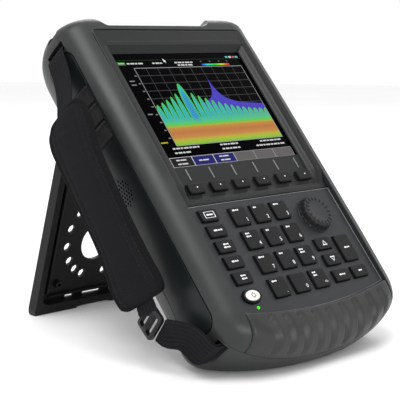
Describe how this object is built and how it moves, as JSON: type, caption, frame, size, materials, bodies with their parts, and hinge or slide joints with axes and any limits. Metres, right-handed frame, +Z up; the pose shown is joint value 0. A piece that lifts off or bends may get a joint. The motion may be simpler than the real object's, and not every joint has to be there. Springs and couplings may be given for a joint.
{
  "type": "handheld vector network analyser",
  "caption": "Rugged handheld microwave network analyser with display, keypad and knob, leaning on a rear tilt stand, with a padded hand strap.",
  "frame": {"origin": "middle of the footprint, on the surface that it stands on", "axes": "+X to the instrument's right, +Y to its back, +Z up; the case leans back 40 degrees"},
  "size_m": [0.2148, 0.266, 0.2361],
  "materials": {
    "housing": "moulded dark grey, fine grain",
    "bumper": "ribbed soft rubber",
    "side_panel": "satin grey",
    "door": "ribbed rubber",
    "bezel": "satin near-black",
    "keypad_plate": "fine grain slate",
    "window": "clear gloss over a black display",
    "lcd": "gloss",
    "key": "satin black rubber with white legends",
    "power_key": "satin white cap",
    "knob": "fluted black",
    "led": "lit green",
    "circuit_board": "solder mask",
    "shield": "satin",
    "battery": "satin",
    "connector_plate": "satin grey",
    "connector": "turned and plated",
    "steel": "ground",
    "stand": "satin black",
    "webbing": "ribbed nylon",
    "pad_fabric": "padded woven nylon",
    "buckle": "satin black"
  },
  "bodies": {
    "case": {"front_housing": "housing", "rear_housing": "housing", "bottom_bumper": "bumper", "left_side_panel": "side_panel", "right_side_panel": "side_panel", "display_bezel": "bezel", "display_window": "window", "lcd_panel": "lcd", "keypad_plate": "keypad_plate", "knob_encoder": "steel", "power_led": "led", "keypad_board": "circuit_board", "main_board": "circuit_board", "rf_module": "shield", "battery": "battery", "top_connector_plate": "connector_plate", "rf_port_1": "connector", "rf_port_2": "connector", "reference_connector": "connector", "gps_connector": "connector", "stand_hinge_pin": "steel", "strap_upper_webbing": "webbing", "strap_pad": "pad_fabric", "strap_lower_webbing": "webbing", "strap_buckle": "buckle"},
    "stand": {"tilt_stand": "stand"},
    "usb_door": {"usb_door": "door"},
    "card_door": {"card_door": "door"},
    "lan_door": {"lan_door": "door"},
    "battery_cover": {"battery_cover": "side_panel"},
    "knob": {"tuning_knob": "knob"},
    "softkey_1": {"softkey_1": "key"},
    "softkey_2": {"softkey_2": "key"},
    "softkey_3": {"softkey_3": "key"},
    "softkey_4": {"softkey_4": "key"},
    "softkey_5": {"softkey_5": "key"},
    "softkey_6": {"softkey_6": "key"},
    "key_mode": {"key_mode": "key"},
    "key_frequency": {"key_frequency": "key"},
    "key_scale": {"key_scale": "key"},
    "key_marker": {"key_marker": "key"},
    "key_tools": {"key_tools": "key"},
    "key_1": {"key_1": "key"},
    "key_2": {"key_2": "key"},
    "key_3": {"key_3": "key"},
    "key_4": {"key_4": "key"},
    "key_5": {"key_5": "key"},
    "key_6": {"key_6": "key"},
    "key_7": {"key_7": "key"},
    "key_8": {"key_8": "key"},
    "key_9": {"key_9": "key"},
    "key_decimal": {"key_decimal": "key"},
    "key_0": {"key_0": "key"},
    "key_sign": {"key_sign": "key"},
    "key_up": {"key_up": "key"},
    "key_down": {"key_down": "key"},
    "key_back": {"key_back": "key"},
    "key_enter": {"key_enter": "key"},
    "key_escape": {"key_escape": "key"},
    "key_power": {"key_power": "power_key"}
  },
  "joints": [
    {"name": "stand_hinge", "type": "hinge", "parent": "case", "child": "stand", "pos_m": [0.01312, 0.07621, 0.17458], "axis": [1, 0, 0], "range_deg": [-57, 0]},
    {"name": "usb_door_hinge", "type": "hinge", "parent": "case", "child": "usb_door", "pos_m": [-0.08118, 0.03415, 0.17097], "axis": [0, -0.6428, -0.766], "range_deg": [0, 25]},
    {"name": "card_door_hinge", "type": "hinge", "parent": "case", "child": "card_door", "pos_m": [-0.08118, 0.02438, 0.15933], "axis": [0, -0.6428, -0.766], "range_deg": [0, 25]},
    {"name": "lan_door_hinge", "type": "hinge", "parent": "case", "child": "lan_door", "pos_m": [-0.08118, 0.01461, 0.14768], "axis": [0, -0.6428, -0.766], "range_deg": [0, 25]},
    {"name": "battery_cover_hinge", "type": "hinge", "parent": "case", "child": "battery_cover", "pos_m": [0.10742, -0.0523, 0.05736], "axis": [0, 0.6428, 0.766], "range_deg": [0, 100]},
    {"name": "knob_spin", "type": "hinge", "parent": "case", "child": "knob", "pos_m": [0.05652, -0.07451, 0.09375], "axis": [0, 0.766, -0.6428], "continuous": true},
    {"name": "softkey_1_press", "type": "slide", "parent": "case", "child": "softkey_1", "axis": [0, 0.766, -0.6428], "range_m": [0, 0.0012], "stiffness_N_per_m": 400},
    {"name": "softkey_2_press", "type": "slide", "parent": "case", "child": "softkey_2", "axis": [0, 0.766, -0.6428], "range_m": [0, 0.0012], "stiffness_N_per_m": 400},
    {"name": "softkey_3_press", "type": "slide", "parent": "case", "child": "softkey_3", "axis": [0, 0.766, -0.6428], "range_m": [0, 0.0012], "stiffness_N_per_m": 400},
    {"name": "softkey_4_press", "type": "slide", "parent": "case", "child": "softkey_4", "axis": [0, 0.766, -0.6428], "range_m": [0, 0.0012], "stiffness_N_per_m": 400},
    {"name": "softkey_5_press", "type": "slide", "parent": "case", "child": "softkey_5", "axis": [0, 0.766, -0.6428], "range_m": [0, 0.0012], "stiffness_N_per_m": 400},
    {"name": "softkey_6_press", "type": "slide", "parent": "case", "child": "softkey_6", "axis": [0, 0.766, -0.6428], "range_m": [0, 0.0012], "stiffness_N_per_m": 400},
    {"name": "key_mode_press", "type": "slide", "parent": "case", "child": "key_mode", "axis": [0, 0.766, -0.6428], "range_m": [0, 0.0012], "stiffness_N_per_m": 400},
    {"name": "key_frequency_press", "type": "slide", "parent": "case", "child": "key_frequency", "axis": [0, 0.766, -0.6428], "range_m": [0, 0.0012], "stiffness_N_per_m": 400},
    {"name": "key_scale_press", "type": "slide", "parent": "case", "child": "key_scale", "axis": [0, 0.766, -0.6428], "range_m": [0, 0.0012], "stiffness_N_per_m": 400},
    {"name": "key_marker_press", "type": "slide", "parent": "case", "child": "key_marker", "axis": [0, 0.766, -0.6428], "range_m": [0, 0.0012], "stiffness_N_per_m": 400},
    {"name": "key_tools_press", "type": "slide", "parent": "case", "child": "key_tools", "axis": [0, 0.766, -0.6428], "range_m": [0, 0.0012], "stiffness_N_per_m": 400},
    {"name": "key_1_press", "type": "slide", "parent": "case", "child": "key_1", "axis": [0, 0.766, -0.6428], "range_m": [0, 0.0012], "stiffness_N_per_m": 400},
    {"name": "key_2_press", "type": "slide", "parent": "case", "child": "key_2", "axis": [0, 0.766, -0.6428], "range_m": [0, 0.0012], "stiffness_N_per_m": 400},
    {"name": "key_3_press", "type": "slide", "parent": "case", "child": "key_3", "axis": [0, 0.766, -0.6428], "range_m": [0, 0.0012], "stiffness_N_per_m": 400},
    {"name": "key_4_press", "type": "slide", "parent": "case", "child": "key_4", "axis": [0, 0.766, -0.6428], "range_m": [0, 0.0012], "stiffness_N_per_m": 400},
    {"name": "key_5_press", "type": "slide", "parent": "case", "child": "key_5", "axis": [0, 0.766, -0.6428], "range_m": [0, 0.0012], "stiffness_N_per_m": 400},
    {"name": "key_6_press", "type": "slide", "parent": "case", "child": "key_6", "axis": [0, 0.766, -0.6428], "range_m": [0, 0.0012], "stiffness_N_per_m": 400},
    {"name": "key_7_press", "type": "slide", "parent": "case", "child": "key_7", "axis": [0, 0.766, -0.6428], "range_m": [0, 0.0012], "stiffness_N_per_m": 400},
    {"name": "key_8_press", "type": "slide", "parent": "case", "child": "key_8", "axis": [0, 0.766, -0.6428], "range_m": [0, 0.0012], "stiffness_N_per_m": 400},
    {"name": "key_9_press", "type": "slide", "parent": "case", "child": "key_9", "axis": [0, 0.766, -0.6428], "range_m": [0, 0.0012], "stiffness_N_per_m": 400},
    {"name": "key_decimal_press", "type": "slide", "parent": "case", "child": "key_decimal", "axis": [0, 0.766, -0.6428], "range_m": [0, 0.0012], "stiffness_N_per_m": 400},
    {"name": "key_0_press", "type": "slide", "parent": "case", "child": "key_0", "axis": [0, 0.766, -0.6428], "range_m": [0, 0.0012], "stiffness_N_per_m": 400},
    {"name": "key_sign_press", "type": "slide", "parent": "case", "child": "key_sign", "axis": [0, 0.766, -0.6428], "range_m": [0, 0.0012], "stiffness_N_per_m": 400},
    {"name": "key_up_press", "type": "slide", "parent": "case", "child": "key_up", "axis": [0, 0.766, -0.6428], "range_m": [0, 0.0012], "stiffness_N_per_m": 400},
    {"name": "key_down_press", "type": "slide", "parent": "case", "child": "key_down", "axis": [0, 0.766, -0.6428], "range_m": [0, 0.0012], "stiffness_N_per_m": 400},
    {"name": "key_back_press", "type": "slide", "parent": "case", "child": "key_back", "axis": [0, 0.766, -0.6428], "range_m": [0, 0.0012], "stiffness_N_per_m": 400},
    {"name": "key_enter_press", "type": "slide", "parent": "case", "child": "key_enter", "axis": [0, 0.766, -0.6428], "range_m": [0, 0.0012], "stiffness_N_per_m": 400},
    {"name": "key_escape_press", "type": "slide", "parent": "case", "child": "key_escape", "axis": [0, 0.766, -0.6428], "range_m": [0, 0.0012], "stiffness_N_per_m": 400},
    {"name": "key_power_press", "type": "slide", "parent": "case", "child": "key_power", "axis": [0, 0.766, -0.6428], "range_m": [0, 0.0012], "stiffness_N_per_m": 400}
  ]
}
